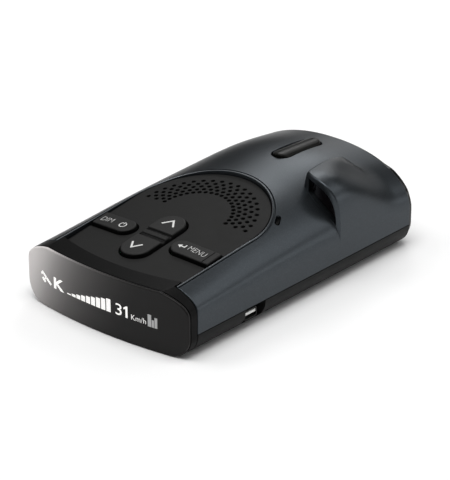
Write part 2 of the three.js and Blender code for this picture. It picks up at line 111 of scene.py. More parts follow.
def hood_section(x, half, top, n):
    u = np.clip((x - HOOD_MID) / half, 0, 1)
    return SHOULDER_Z + (top - SHOULDER_Z) * np.maximum(0, 1 - u ** n) ** 0.25


def ridge_x(y):
    return RIDGE - FLARE * (y - HOOD_FRONT)


def hood_z(x, y):
    """The case's top with the hood on it: it ends in a round nose at the rear and fades out more slowly
    towards the side wall."""
    behind = np.maximum(0, y - 20)
    nose = np.maximum(0, 1 - (behind / (HOOD_END - 20)) ** 2.3)
    soft = 1 - smooth(behind / 30)
    mix = smooth((x - 17) / 9)
    s = np.clip((x - ridge_x(y)) / FLANK + 1, 0, 1)
    rise = np.sqrt(1 - (1 - s) ** 2) * (nose + (soft - nose) * mix)
    base = top_z(x, y)
    return base + rise * (hood_section(x, HALF_W - HOOD_MID, HOOD_TOP, 3) - base)


def bottom_z(x):
    over = np.maximum(0, np.abs(x) - (HALF_W - BOTTOM_R))
    return BOTTOM_R - np.sqrt(np.maximum(0, BOTTOM_R ** 2 - over ** 2))


def face_y(x):
    return FRONT_Y + FACE_BOW * x * x


def rear_y(x):
    return REAR_Y - REAR_BOW * x * x


def face_z(x, y):
    return np.minimum(top_z(x, y), FACE_TOP + 0.06 * (y - FRONT_Y))


def slope_normal(f, x, y, h=0.02):
    """Unit normals of the height surface z = f(x, y), upright at the side walls."""
    x = np.clip(x, -HALF_W + 0.03, HALF_W - 0.03)
    dx = (f(x + h, y) - f(x - h, y)) / (2 * h)
    dy = (f(x, y + h) - f(x, y - h)) / (2 * h)
    n = np.stack([-dx, -dy, np.ones_like(dx)], -1)
    return n / np.linalg.norm(n, axis=-1, keepdims=True)


# ---- mesh tools ----
def make(name, points, faces):
    mesh = bpy.data.meshes.new(name)
    mesh.from_pydata((np.asarray(points, float) * MM).tolist(), [], faces)
    mesh.validate()
    mesh.update()
    obj = bpy.data.objects.new(name, mesh)
    bpy.context.scene.collection.objects.link(obj)
    return obj


def tidy(obj, angle=32):
    """Welds, points faces outwards, and shades smooth with sharp edges above the angle."""
    import bmesh
    bm = bmesh.new()
    bm.from_mesh(obj.data)
    bmesh.ops.remove_doubles(bm, verts=bm.verts, dist=2e-6)
    bmesh.ops.dissolve_degenerate(bm, edges=bm.edges, dist=1e-6)
    bmesh.ops.recalc_face_normals(bm, faces=bm.faces)
    bm.to_mesh(obj.data)
    bm.free()
    obj.data.shade_smooth()
    obj.data.set_sharp_from_angle(angle=math.radians(angle))
    return obj


def loops(name, rings):
    """A closed solid from rings of equal point counts; the two end rings are filled."""
    rings = [np.asarray(r, float) for r in rings]
    n = len(rings[0])
    faces = []
    for k in range(len(rings) - 1):
        for i in range(n):
            j = (i + 1) % n
            faces.append((k * n + i, k * n + j, (k + 1) * n + j, (k + 1) * n + i))
    faces.append(tuple(range(n))[::-1])
    faces.append(tuple((len(rings) - 1) * n + i for i in range(n)))
    return tidy(make(name, np.concatenate(rings), faces))


def boolean(obj, cutter, operation="DIFFERENCE"):
    mod = obj.modifiers.new("cut", "BOOLEAN")
    mod.operation, mod.object, mod.solver = operation, cutter, "MANIFOLD"
    graph = bpy.context.evaluated_depsgraph_get()
    graph.update()
    mesh = bpy.data.meshes.new_from_object(obj.evaluated_get(graph))
    obj.modifiers.clear()
    old, obj.data = obj.data, mesh
    mesh.name = obj.name
    bpy.data.meshes.remove(old)
    gone = cutter.data
    bpy.data.objects.remove(cutter)
    bpy.data.meshes.remove(gone)
    return obj


def join(name, objs):
    points, faces, at = [], [], 0
    for o in objs:
        co = np.empty(len(o.data.vertices) * 3)
        o.data.vertices.foreach_get("co", co)
        points.append(co.reshape(-1, 3) / MM)
        faces += [tuple(v + at for v in p.vertices) for p in o.data.polygons]
        at += len(o.data.vertices)
        gone = o.data
        bpy.data.objects.remove(o)
        bpy.data.meshes.remove(gone)
    return make(name, np.concatenate(points), faces)


def true_normals(obj, tests):
    """Exact normals where a face lies on a known surface. Each test takes (x, y, z) in mm and gives the
    distance from its surface and the surface's unit normals."""
    mesh = obj.data
    co = np.empty(len(mesh.vertices) * 3)
    mesh.vertices.foreach_get("co", co)
    co = co.reshape(-1, 3) / MM
    vert = np.empty(len(mesh.loops), int)
    mesh.loops.foreach_get("vertex_index", vert)
    poly_of = np.repeat(np.arange(len(mesh.polygons)), [p.loop_total for p in mesh.polygons])
    flat = np.empty(len(mesh.polygons) * 3)
    mesh.polygons.foreach_get("normal", flat)
    flat = flat.reshape(-1, 3)
    normals = np.array([n.vector[:] for n in mesh.corner_normals])
    p = co[vert]
    for test in tests:
        away, exact = test(p[:, 0], p[:, 1], p[:, 2])
        bad = (np.abs(away) > 0.03) | (np.einsum("ij,ij->i", exact, flat[poly_of]) < 0.75)
        off = np.zeros(len(mesh.polygons), bool)
        np.logical_or.at(off, poly_of, bad)
        use = ~off[poly_of]
        normals[use] = exact[use]
    mesh.normals_split_custom_set(normals.tolist())
    return obj


def place(obj, matrix):
    """Moves a piece's points by a matrix given in mm."""
    m = matrix.copy()
    m.translation = m.translation * MM
    obj.data.transform(m)
    return obj


KEYPAD = Matrix.Translation((0, PANEL_Y, PANEL_Z)) @ Matrix.Rotation(TILT, 4, "X")
# A shape drawn flat and built upwards is laid on its side, to point along +X or +Y.
TO_X = Matrix(((0, 0, 1, 0), (1, 0, 0, 0), (0, 1, 0, 0), (0, 0, 0, 1)))
TO_Y = Matrix(((1, 0, 0, 0), (0, 0, 1, 0), (0, 1, 0, 0), (0, 0, 0, 1)))


def tilted(y):
    return (y - PANEL_Y) / math.cos(TILT)


def even(a, b, n):
    return np.linspace(a, b, n + 1)


def spread(half, n):
    return half * np.sin(np.pi * (np.arange(n + 1) / n - 0.5))


FILLET = [(1 - math.cos(a), 1 - math.sin(a)) for a in np.linspace(0, math.pi / 2, 6)]


# ---- materials ----
def add_node(tree, kind, inputs=None, **settings):
    """A new shader node. Each input, by name or number, is a socket to link from or a plain value."""
    node = tree.nodes.new("ShaderNode" + kind)
    for key, value in settings.items():
        setattr(node, key, value)
    for key, value in (inputs or {}).items():
        if isinstance(value, bpy.types.NodeSocket):
            tree.links.new(value, node.inputs[key])
        else:
            node.inputs[key].default_value = value
    return node


def mix_color(tree, factor, a, b, blend="MIX"):
    inputs = {"Factor": factor, "A": a, "B": b}
    return add_node(tree, "Mix", inputs, data_type="RGBA", blend_type=blend).outputs["Result"]


def material(name, color, rough, metallic=0.0, grain=0.0, scale=900, tint=0.12, spread_rough=0.08,
             specular=0.5, flake=0.0):
    """A moulded or painted surface: mottled colour, uneven gloss and a fine raised grain, in object
    space. A painted one may have metal flakes in it."""
    mat = bpy.data.materials.new(name)
    mat.use_nodes = True
    tree = mat.node_tree
    bsdf = tree.nodes["Principled BSDF"]
    bsdf.inputs["Metallic"].default_value = metallic
    bsdf.inputs["Specular IOR Level"].default_value = specular
    if metallic:
        bsdf.inputs["Specular Tint"].default_value = (0.8, 0.79, 0.78, 1)
    coords = add_node(tree, "TexCoord").outputs["Object"]
    soft = add_node(tree, "TexNoise", {"Vector": coords, "Scale": scale * 0.06, "Detail": 4}).outputs["Fac"]
    fine = add_node(tree, "TexNoise", {"Vector": coords, "Scale": scale, "Detail": 5}).outputs["Fac"]
    half = add_node(tree, "Math", {0: soft, 1: 0.5}, operation="MULTIPLY").outputs[0]
    blend = add_node(tree, "Math", {0: fine, 1: 0.5, 2: half}, operation="MULTIPLY_ADD").outputs[0]
    dark = [c * (1 - tint) for c in color]
    light = [min(1, c * (1 + tint)) for c in color]
    out = mix_color(tree, blend, (*dark, 1), (*light, 1))
    if flake:
        cells = add_node(tree, "TexVoronoi", {"Vector": coords, "Scale": 5200}).outputs["Color"]
        pick = add_node(tree, "SeparateColor", {0: cells}).outputs[0]
        spark = add_node(tree, "MapRange", {"Value": pick, "From Min": 0.55, "To Max": flake})
        out = mix_color(tree, spark.outputs["Result"], out, (0.25, 0.28, 0.31, 1))
    tree.links.new(out, bsdf.inputs["Base Color"])
    gloss = add_node(tree, "MapRange", {"Value": soft, "To Min": max(0.02, rough - spread_rough),
                                        "To Max": min(1, rough + spread_rough)})
    tree.links.new(gloss.outputs["Result"], bsdf.inputs["Roughness"])
    if grain:
        bump = add_node(tree, "Bump", {"Strength": grain, "Distance": 0.00004, "Height": fine})
        tree.links.new(bump.outputs["Normal"], bsdf.inputs["Normal"])
    return mat


def paint_shade_on_walls(mat, low, high):
    """Paints shade on a key's side walls: the colour fades to near black between two heights above the
    crowned keypad, as painted shadow in the gap round the key.
    """
    tree = mat.node_tree
    base_color = tree.nodes["Principled BSDF"].inputs["Base Color"]
    normal = KEYPAD.to_3x3() @ Vector((0, 0, 1))
    foot = normal.dot(KEYPAD.translation)
    coords = add_node(tree, "TexCoord").outputs["Object"]
    x = add_node(tree, "SeparateXYZ", {0: coords}).outputs["X"]
    square = add_node(tree, "Math", {0: x, 1: x}, operation="MULTIPLY").outputs[0]
    lift = add_node(tree, "VectorMath", {0: coords, 1: normal}, operation="DOT_PRODUCT").outputs["Value"]
    height = add_node(tree, "Math", {0: square, 1: PANEL_CROWN / MM, 2: lift}, operation="MULTIPLY_ADD")
    fade = add_node(tree, "MapRange", {"Value": height.outputs[0], "From Min": (foot + low) * MM,
                                       "From Max": (foot + high) * MM})
    # Near-black painted shade below the fade, the key's own colour above it.
    out = mix_color(tree, fade.outputs["Result"], (0.001, 0.001, 0.001, 1), base_color.links[0].from_socket)
    tree.links.new(out, base_color)


def lamp(name, color, strength):
    """A lit display segment, slightly uneven from pixel to pixel."""
    mat = material(name, color, 0.4, tint=0.05, scale=3000)
    bsdf = mat.node_tree.nodes["Principled BSDF"]
    bsdf.inputs["Emission Color"].default_value = (*color, 1)
    bsdf.inputs["Emission Strength"].default_value = strength
    return mat


PAINT = material("graphite_paint", (0.049, 0.056, 0.0625), 0.33, metallic=0.9, grain=0.03, scale=2600,
                 tint=0.06, spread_rough=0.02, specular=0.3, flake=0.06)
CASE = material("case_plastic", (0.012, 0.012, 0.012), 0.5, grain=0.3, scale=2400, specular=0.1)
PANEL = material("soft_touch", (0.010, 0.010, 0.0098), 0.62, grain=0.25, scale=3000, tint=0.15,
                 specular=0.15)
KEY = material("key_rubber", (0.0155, 0.0155, 0.0153), 0.56, grain=0.2, scale=3400, tint=0.12, specular=0.18)
# Painted shade: the keys' side walls go black towards the keypad, standing in for the shadow in the gaps.
paint_shade_on_walls(KEY, KEY_RISE - 0.5, KEY_RISE - 0.15)
GLOSS = material("piano_black", (0.006, 0.006, 0.006), 0.14, grain=0.02, scale=1500, spread_rough=0.03,
                 specular=0.3)
BAND = material("bezel_black", (0.0045, 0.0045, 0.0045), 0.35, grain=0.02, scale=1500, spread_rough=0.04,
                specular=0.05)
BUTTON = material("button_black", (0.005, 0.005, 0.0043), 0.3, grain=0.02, scale=1500, spread_rough=0.04,
                  specular=0.09)
SHADE = material("matt_black", (0.003, 0.003, 0.003), 0.7, grain=0.1, scale=2000, specular=0.05)
# Lighter than the case paint: a painted highlight for the bead along the opening's rim.
RIM_HIGHLIGHT = material("rim_painted_highlight", (0.13, 0.14, 0.15), 0.3, metallic=0.9, grain=0.02, scale=2600, tint=0.05)
# Steel darkened as painted shade: the USB socket deep in its recess and the speaker frame behind the grille
# holes.
SHADED_STEEL = material("steel_painted_shade", (0.03, 0.03, 0.03), 0.45, metallic=0.6, scale=1500, specular=0.2)
CONTACT = material("contact_tongue", (0.82, 0.82, 0.80), 0.4, grain=0.02, scale=1500, tint=0.04)
LENS = material("sensor_lens", (0.005, 0.004, 0.005), 0.08, grain=0.01, scale=1200, spread_rough=0.02,
                specular=0.3)
BOARD = material("solder_mask", (0.015, 0.10, 0.045), 0.42, grain=0.3, scale=1200, tint=0.3)
STEEL = material("tinned_steel", (0.55, 0.56, 0.57), 0.32, metallic=1.0, grain=0.1, scale=1800, tint=0.08)
CAST = material("cast_alloy", (0.50, 0.50, 0.51), 0.48, metallic=0.9, grain=0.6, scale=900, tint=0.12)
CONE = material("pressed_paper", (0.022, 0.022, 0.022), 0.85, grain=0.8, scale=1400, tint=0.25)
CERAMIC = material("fired_ceramic", (0.58, 0.53, 0.41), 0.5, grain=0.2, scale=1500, tint=0.08)
BLACK_ZINC = material("black_zinc", (0.10, 0.10, 0.105), 0.35, metallic=0.9, grain=0.15, scale=2000)
INK = material("legend_ink", (0.60, 0.60, 0.59), 0.5, grain=0.1, scale=4000, tint=0.06)
LIT = lamp("display_lit", (0.90, 0.89, 0.87), 0.4)
DIM_LIT = lamp("display_dim", (0.42, 0.42, 0.42), 0.12)


def window_with_painted_reflection():
    """Smoked acrylic with a painted reflection: the base colour is lightened at the left end of the display
    face and fades along a slant towards the right.
    """
    mat = material("smoked_window", (0.005, 0.005, 0.0055), 0.2, grain=0.01, scale=1500, spread_rough=0.02,
                   specular=0.12)
    tree = mat.node_tree
    base_color = tree.nodes["Principled BSDF"].inputs["Base Color"]
    coords = add_node(tree, "TexCoord").outputs["Object"]
    parts = add_node(tree, "SeparateXYZ", {0: coords}).outputs
    slant = add_node(tree, "Math", {0: parts["Z"], 1: -0.45, 2: parts["X"]}, operation="MULTIPLY_ADD")
    along = add_node(tree, "MapRange", {"Value": slant.outputs[0], "From Min": -0.0415, "From Max": 0.007})
    ramp = add_node(tree, "ValToRGB", {"Fac": along.outputs["Result"]})
    ramp.color_ramp.interpolation = "B_SPLINE"
    # Stops of the painted reflection: light at the left end, near black at the right.
    stops = [(0.0, 0.80), (0.14, 0.62), (0.3, 0.27), (0.5, 0.095), (0.74, 0.030), (1.0, 0.009)]
    elements = ramp.color_ramp.elements
    while len(elements) < len(stops):
        elements.new(0.5)
    for element, (at, value) in zip(elements, stops):
        element.position = at
        element.color = (value, value * 0.955, value * 0.94, 1)
    out = mix_color(tree, 1, base_color.links[0].from_socket, ramp.outputs["Color"], "LIGHTEN")
    tree.links.new(out, base_color)
    return mat


WINDOW = window_with_painted_reflection()

# ---- camera, at the photograph's viewing angle ----
AZ, EL, DIST, AIM_Z = math.radians(40.92), math.radians(25.05), 800.0, 12.0
LENS_MM, SENSOR_MM = 185.4225, 36
SHIFT_X, SHIFT_Y = -0.65, 0.96
right = Vector((math.cos(AZ), math.sin(AZ), 0))
back = Vector((math.sin(AZ) * math.cos(EL), -math.cos(AZ) * math.cos(EL), math.sin(EL)))
up = back.cross(right)
eye = Vector((0, 0, AIM_Z)) + back * DIST - right * SHIFT_X - up * SHIFT_Y
cam_data = bpy.data.cameras.new("camera")
cam = bpy.data.objects.new("camera", cam_data)
bpy.context.scene.collection.objects.link(cam)
cam.matrix_world = Matrix(((right.x, up.x, back.x, eye.x * MM), (right.y, up.y, back.y, eye.y * MM),
                           (right.z, up.z, back.z, eye.z * MM), (0, 0, 0, 1)))
cam_data.sensor_width = SENSOR_MM
cam_data.lens = LENS_MM
cam_data.clip_start, cam_data.clip_end = 0.01, 50
bpy.context.scene.camera = cam


def finish_piece(obj, mat, body, slot=None, *nodes):
    obj.data.materials.clear()
    obj.data.materials.append(mat)
    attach(obj, body)
    if nodes:
        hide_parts(*nodes)


# ---- case loft: rings of the body's section, with a rounded edge at each end ----
def section(inset, y_of, top, n=96, lean=0.0):
    """One ring of the body's section, shrunk by inset, along the curve y_of(x)."""
    k = HALF_W / (HALF_W - inset)
    x = spread(HALF_W - inset, n)
    y = y_of(x)
    hi = np.stack([x, y, top(x * k, y) - inset], -1)
    lo = np.stack([x, y, bottom_z(x * k) + inset], -1)[::-1]
    ring = np.concatenate([hi, lo])
    ring[:, 1] += lean * (1 - ring[:, 2] / FACE_TOP)
    return ring


def strip_capped(name, rings):
    """Rings from section(), closed at both ends with strips from top to bottom, which keep the bow."""
    n = len(rings[0])
    half = n // 2
    faces = []
    for k in range(len(rings) - 1):
        for i in range(n):
            j = (i + 1) % n
            faces.append((k * n + i, k * n + j, (k + 1) * n + j, (k + 1) * n + i))
    last = (len(rings) - 1) * n
    for i in range(half - 1):
        strip = (i, i + 1, n - 2 - i, n - 1 - i)
        faces.append(strip)
        faces.append(tuple(last + v for v in strip[::-1]))
    return tidy(make(name, np.concatenate(rings), faces))


def body_loft(name, ya, yb, top, inset=0.0, edge=0.3, mid=2, lean=0.0, n=96, edge_b=None):
    edge_b = edge if edge_b is None else edge_b
    rings = []
    for out, inn in FILLET[::-1]:
        rings.append(section(inset + edge * out, lambda x, d=edge * inn: ya(x) + d, top, n, lean))
    for t in even(0, 1, mid)[1:-1]:
        def between(x, t=t):
            return ya(x) + edge + (yb(x) - ya(x) - edge - edge_b) * t
        rings.append(section(inset, between, top, n, lean * (1 - t)))
    for out, inn in FILLET:
        rings.append(section(inset + edge_b * out, lambda x, d=edge_b * inn: yb(x) - d, top, n))
    return strip_capped(name, rings)


# ---- cutters with rounded rims ----
def outset(outline, d):
    """Moves a counter-clockwise outline outwards by d, keeping its corners sharp."""
    p = np.asarray(outline, float)
    e = np.roll(p, -1, 0) - p
    n = np.stack([e[:, 1], -e[:, 0]], -1) / np.linalg.norm(e, axis=1)[:, None]
    m = n + np.roll(n, 1, 0)
    m /= np.maximum(0.3, (m * m).sum(1))[:, None] / 2
    return p + m * d


def at_height(outline, z):
    return np.column_stack([outline, np.broadcast_to(z, len(outline))])


def rimmed(name, outline, surf, r, flare, low, high, steps=6):
    """A tool whose wall rounds over at the surface: flare 1 cuts a hole with a soft rim, flare -1, used
    as an intersection, leaves a piece with a soft top edge."""
    rings = [at_height(outline, low)]
    for a in np.linspace(0, math.pi / 2, steps):
        moved = outset(outline, flare * r * (1 - math.cos(a)))
        rings.append(at_height(moved, surf(moved[:, 0], moved[:, 1]) - r * (1 - math.sin(a))))
    rings.append(at_height(outset(outline, flare * r), high))
    return loops(name, rings)


def stadium(cx, cy, r, half, n=28, turn=0.0):
    a = np.linspace(0, math.pi, n)
    p = np.concatenate([np.column_stack([r * np.cos(a), half + r * np.sin(a)]),
                        -np.column_stack([r * np.cos(a), half + r * np.sin(a)])])
    c, s = math.cos(turn), math.sin(turn)
    return np.column_stack([cx + p[:, 0] * c - p[:, 1] * s, cy + p[:, 0] * s + p[:, 1] * c])


def dense(outline, step):
    """Adds points along the long straight edges."""
    out = []
    for a, b in zip(outline, np.roll(outline, -1, 0)):
        k = max(1, int(np.linalg.norm(b - a) / step))
        out += [a + (b - a) * i / k for i in range(k)]
    return np.array(out)


def u_outline(half, front, end_y, stretch=1.0, n=72):
    a = np.linspace(0, math.pi, n)
    arc = np.column_stack([half * np.cos(a), end_y + half * stretch * np.sin(a)])
    return dense(np.concatenate([[[-half, front], [half, front]], arc]), 1.0)


def key_outline(side, grow):
    r = KEY_R + grow
    outer = KEY_OUTER + (3 if grow > 0 else 0)
    xs = even(outer, KEY_CX, 16)
    centre = -0.4 + 0.0024 * xs ** 2
    arc = np.linspace(-math.pi / 2, -1.5 * math.pi, 26)[1:-1]
    pts = np.concatenate([np.column_stack([xs, centre - r]),
                          np.column_stack([KEY_CX + r * np.cos(arc), centre[-1] + r * np.sin(arc)]),
                          np.column_stack([xs, centre + r])[::-1]])
    return pts[::-1] if side > 0 else np.column_stack([-pts[:, 0], pts[:, 1]])


def grid_slab(name, xs, ya, yb, m, high, low):
    """A closed slab over x stations and m rows from ya(x) to yb(x)."""
    xs = np.asarray(xs, float)
    n = len(xs)
    t = even(0, 1, m)
    x = np.repeat(xs, m + 1)
    y = (ya(xs)[:, None] * (1 - t) + yb(xs)[:, None] * t).ravel()
    points = np.concatenate([np.column_stack([x, y, np.broadcast_to(low(x, y), x.shape)]),
                             np.column_stack([x, y, np.broadcast_to(high(x, y), x.shape)])])

    def at(layer, i, j):
        return (layer * n + i) * (m + 1) + j

    faces = []
    for i in range(n - 1):
        for j in range(m):
            faces.append((at(1, i, j), at(1, i + 1, j), at(1, i + 1, j + 1), at(1, i, j + 1)))
            faces.append((at(0, i, j), at(0, i, j + 1), at(0, i + 1, j + 1), at(0, i + 1, j)))
        faces.append((at(0, i, 0), at(0, i + 1, 0), at(1, i + 1, 0), at(1, i, 0)))
        faces.append((at(0, i, m), at(1, i, m), at(1, i + 1, m), at(0, i + 1, m)))
    for j in range(m):
        faces.append((at(0, 0, j), at(1, 0, j), at(1, 0, j + 1), at(0, 0, j + 1)))
        faces.append((at(0, n - 1, j), at(0, n - 1, j + 1), at(1, n - 1, j + 1), at(1, n - 1, j)))
    return tidy(make(name, points, faces))


def fixed(value):
    return lambda x: np.full_like(np.asarray(x, float), value)


def brick(name, x0, x1, y0, y1, z0, z1, r=0.0):
    """A box, with its upright edges rounded by r."""
    if not r:
        ring = np.array([(x0, y0), (x1, y0), (x1, y1), (x0, y1)], float)
    else:
        corners = [(x1 - r, y1 - r), (x0 + r, y1 - r), (x0 + r, y0 + r), (x1 - r, y0 + r)]
        ring = np.array([(cx + r * math.cos(a), cy + r * math.sin(a))
                         for k, (cx, cy) in enumerate(corners)
                         for a in even(k * math.pi / 2, (k + 1) * math.pi / 2, 6)])
    return loops(name, [at_height(ring, z0), at_height(ring, z1)])


def disc_stack(name, x, y, table, sides=40):
    """A turned solid from (radius, height) pairs, from bottom to top."""
    a = np.arange(sides) * 2 * math.pi / sides
    return loops(name, [np.column_stack([x + r * np.cos(a), y + r * np.sin(a), np.full(sides, z)])
                        for r, z in table])


def exact_top(surf):
    """A test for true_normals: the height surface z = surf(x, y)."""
    return lambda x, y, z: (surf(x, y) - z, slope_normal(surf, x, y))


def exact_side(x, y, z):
    """The upright side walls and the rounded corners below them."""
    inner = HALF_W - BOTTOM_R
    over = np.maximum(np.abs(x) - inner, 0)
    drop = np.maximum(BOTTOM_R - z, 0)
    size = np.maximum(np.hypot(over, drop), 1e-6)
    normal = np.stack([np.sign(x) * over / size, np.zeros_like(x), -drop / size], -1)
    away = np.where(z > SHOULDER_Z + 0.05, 1.0, size - BOTTOM_R)
    return away, normal


def exact_front(x, y, z):
    """The bowed display face, which leans back towards its foot."""
    away = y - (face_y(x) + FACE_LEAN * (1 - z / FACE_TOP))
    n = np.stack([2 * FACE_BOW * x, -np.ones_like(x), np.full_like(x, -FACE_LEAN / FACE_TOP)], -1)
    return away, n / np.linalg.norm(n, axis=-1, keepdims=True)


# ---- painted upper case ----
SIDE_Z = SPLIT_Z + GAP / 2


def shell_x(y_mid, half):
    """x stations of the shell: bunched at the side walls and along the hood's flank. Far ahead of the
    hood its ridge line would leave the case, so there it keeps 4 mm inside the side wall."""
    left = -half * np.cos(even(0, math.pi / 2, 60))[:-1]
    ridge = min(ridge_x(y_mid), half - 4)
    foot = ridge - FLANK
    middle = even(0, foot - 0.15, 36)
    flank = foot + FLANK * (1 - np.cos(even(0, math.pi / 2, 16)))
    right = ridge + (half - ridge) * np.sin(even(0, math.pi / 2, 44))[1:]
    return np.concatenate([left, middle, flank, right])


def shell_ring(y_of, top, drop=0.0):
    """One ring of the upper case: over the top from left to right and back along the parting plane."""
    k = HALF_W / (HALF_W - drop)
    x = shell_x(float(y_of(np.array([24.0]))[0]), HALF_W - drop)
    y = y_of(x)
    hi = np.column_stack([x, y, top(x * k, y) - drop])
    lo = np.column_stack([x, y, np.full_like(x, SIDE_Z)])[::-1]
    return np.concatenate([hi, lo])


def rear_edge(x):
    return rear_y(x) - END_CAP_T


rings = []
for out, inn in FILLET[::-1]:
    rings.append(shell_ring(lambda x, d=CASE_EDGE * inn: SHELL_FRONT + d + 0 * x, top_z, CASE_EDGE * out))
for t in even(0, 1, 40)[1:]:
    rings.append(shell_ring(lambda x, t=t: (SHELL_FRONT + CASE_EDGE) * (1 - t) + rim_y(x) * t, top_z))
for out, inn in FILLET[::-1]:
    def rounded(x, y, out=out):
        step = hood_z(x, rim_y(x)) - top_z(x, rim_y(x))
        return hood_z(x, y) - np.minimum(RIM_R, step * 0.5) * out
    rings.append(shell_ring(lambda x, d=RIM_R * inn: rim_y(x) + d, rounded))
for t in even(0, 1, 60)[1:]:
    def behind_rim(x, t=t):
        return (rim_y(x) + RIM_R) * (1 - t) + (rear_edge(x) - CASE_EDGE) * t
    rings.append(shell_ring(behind_rim, hood_z))
for out, inn in FILLET[1:]:
    rings.append(shell_ring(lambda x, d=CASE_EDGE * inn: rear_edge(x) - d, hood_z, CASE_EDGE * out))
shell = strip_capped("upper_shell_skin", rings)

cavity = body_loft("cavity", fixed(-80), fixed(80), top_z, inset=WALL, edge=0.01, mid=60)
boolean(shell, cavity)
opening = u_outline(U_HALF, -70, U_END_Y)
boolean(shell, rimmed("opening", opening, lambda x, y: top_z(x, np.maximum(y, -55)), CASE_RIM, 1, 12, 40))


def opening_cord(name, offset, r, sink):
    """A round rod along the opening's edge, half sunk in the case's surface."""
    a = even(0, math.pi, 72)
    leg = even(SHELL_FRONT + 0.15, U_END_Y, 40)[:-1]
    x = np.concatenate([np.full_like(leg, U_HALF), U_HALF * np.cos(a), np.full_like(leg, -U_HALF)])
    y = np.concatenate([leg, U_END_Y + U_HALF * np.sin(a), leg[::-1]])
    nx = np.clip(x / U_HALF, -1, 1)
    ny = np.sqrt(1 - nx ** 2)
    cx, cy = x + nx * offset, y + ny * offset
    cz = top_z(cx, cy) - sink
    b = even(0, 2 * math.pi, 12)[:-1]
    out, rise = r * np.cos(b), r * np.sin(b)
    return loops(name, [np.column_stack([px + ux * out, py + uy * out, pz + rise])
                        for px, py, pz, ux, uy in zip(cx, cy, cz, nx, ny)])


boolean(shell, opening_cord("groove", 0.88, 0.4, 0.28))
# The bead's light colour is a painted highlight along the opening's rim.
finish_piece(opening_cord("opening_bead", 0.26, 0.2, 0.08), RIM_HIGHLIGHT, "housing", "case_paint")
pill_slot = stadium(0, PILL_Y, PILL_R + PILL_GAP, PILL_HALF)
boolean(shell, rimmed("pill_slot", dense(pill_slot, 0.7), top_z, CASE_RIM, 1, 24, 40))
SLOT_TURN = math.atan2(0.5, 0.86)
light_slot = stadium(24.1, -1.4, 0.8, 1.5, turn=SLOT_TURN)
boolean(shell, rimmed("light_slot", light_slot, top_z, 0.15, 1, 15, 40))


def mouth_ring(shrink, offset):
    """The mouth's outline at a distance behind the hood's front edge."""
    x = MOUTH_LEFT + shrink + (MOUTH_RIGHT - MOUTH_LEFT - 2 * shrink) * np.sin(even(0, math.pi / 2, 40))
    y = rim_y(x)
    low = top_z(x, y + max(0, offset)) + 0.25 + shrink
    high = np.maximum(hood_section(x, MOUTH_RIGHT + 0.1 - shrink - HOOD_MID, MOUTH_TOP, 2.7) - shrink,
                      top_z(x, y) + 0.45 + shrink)
    y = y + offset
    return np.concatenate([np.column_stack([x, y, high]), np.column_stack([x, y, low])[::-1]])


boolean(shell, strip_capped("mouth", [mouth_ring(0, -2), mouth_ring(0, 0), mouth_ring(0, MOUTH_DEPTH)]))
tidy(shell, 34)


def exact_shell(x, y, z):
    front, back = y < rim_y(x) - 0.001, y > rim_y(x) + RIM_R - 0.01
    s = np.where(front, top_z(x, y), np.where(back, hood_z(x, y), 99.0))
    n = np.where(front[:, None], slope_normal(top_z, x, y), slope_normal(hood_z, x, y))
    return s - z, n


true_normals(shell, [exact_shell, exact_side])
finish_piece(shell, PAINT, "housing", "case_paint", "upper_shell")

# ---- black lower case ----
def lower_top(x, y):
    return np.full_like(x, SPLIT_Z - GAP / 2)


lower = body_loft("lower_shell_skin", fixed(SHELL_FRONT), rear_edge, lower_top, edge=0.3, mid=3, n=80)
boolean(lower, body_loft("trough", fixed(-80), fixed(80), lambda x, y: 20 + 0 * x, inset=WALL,
                         edge=0.01, mid=3, n=80))
for x, y in SCREWS:
    boolean(lower, disc_stack("boss", x, y, [(3, 1.3), (3, 6.6)]), "UNION")
    boolean(lower, disc_stack("seat", x, y, [(3.1, -0.6), (2.6, 0.3), (2.5, 0.5), (2.5, 2.6)]))
    boolean(lower, disc_stack("bore", x, y, [(1.45, 2.0), (1.45, 17)]))
boolean(lower, place(brick("recess", PORT_Y0, PORT_Y1, PORT_Z0, SPLIT_Z + 2, 24, HALF_W + 2, 0.8), TO_X))
tidy(lower, 34)
true_normals(lower, [exact_side])
finish_piece(lower, CASE, "housing", "case_black", "lower_shell")

# ---- rear end cap, with the bracket's slot ----
def cap_top(x, y):
    a = np.abs(x)
    return top_z(x, y) + END_CAP_IN * smooth((a - 21) / 5) * (1 - smooth((a - 32) / 1.8))


cap = body_loft("end_cap_skin", lambda x: rear_edge(x) + GAP, rear_y, cap_top, inset=END_CAP_IN, edge=0.1,
                edge_b=0.3, mid=2, n=120)
boolean(cap, place(brick("slot", -SLOT_HALF, SLOT_HALF, SLOT_LOW, SLOT_HIGH, 50, 62, 0.8), TO_Y))
tidy(cap, 34)
finish_piece(cap, GLOSS, "housing", "gloss_black", "end_cap")

# ---- display window and the glossy bezel behind it ----
window = body_loft("display_window_pane", face_y, lambda x: face_y(x) + WINDOW_T, face_z, inset=0.05,
                   edge=0.35, edge_b=0.05, mid=2, lean=FACE_LEAN, n=150)
true_normals(window, [exact_front])
finish_piece(window, WINDOW, "housing", "window_tint", "display_window")


def apron_edge(x):
    """Where the bezel's apron ends and the keypad begins."""
    return APRON_Y + APRON_BOW * x * x


def bezel_back(x):
    return np.where(np.abs(x) < APRON_HALF, apron_edge(x) - GAP, SHELL_FRONT - GAP)


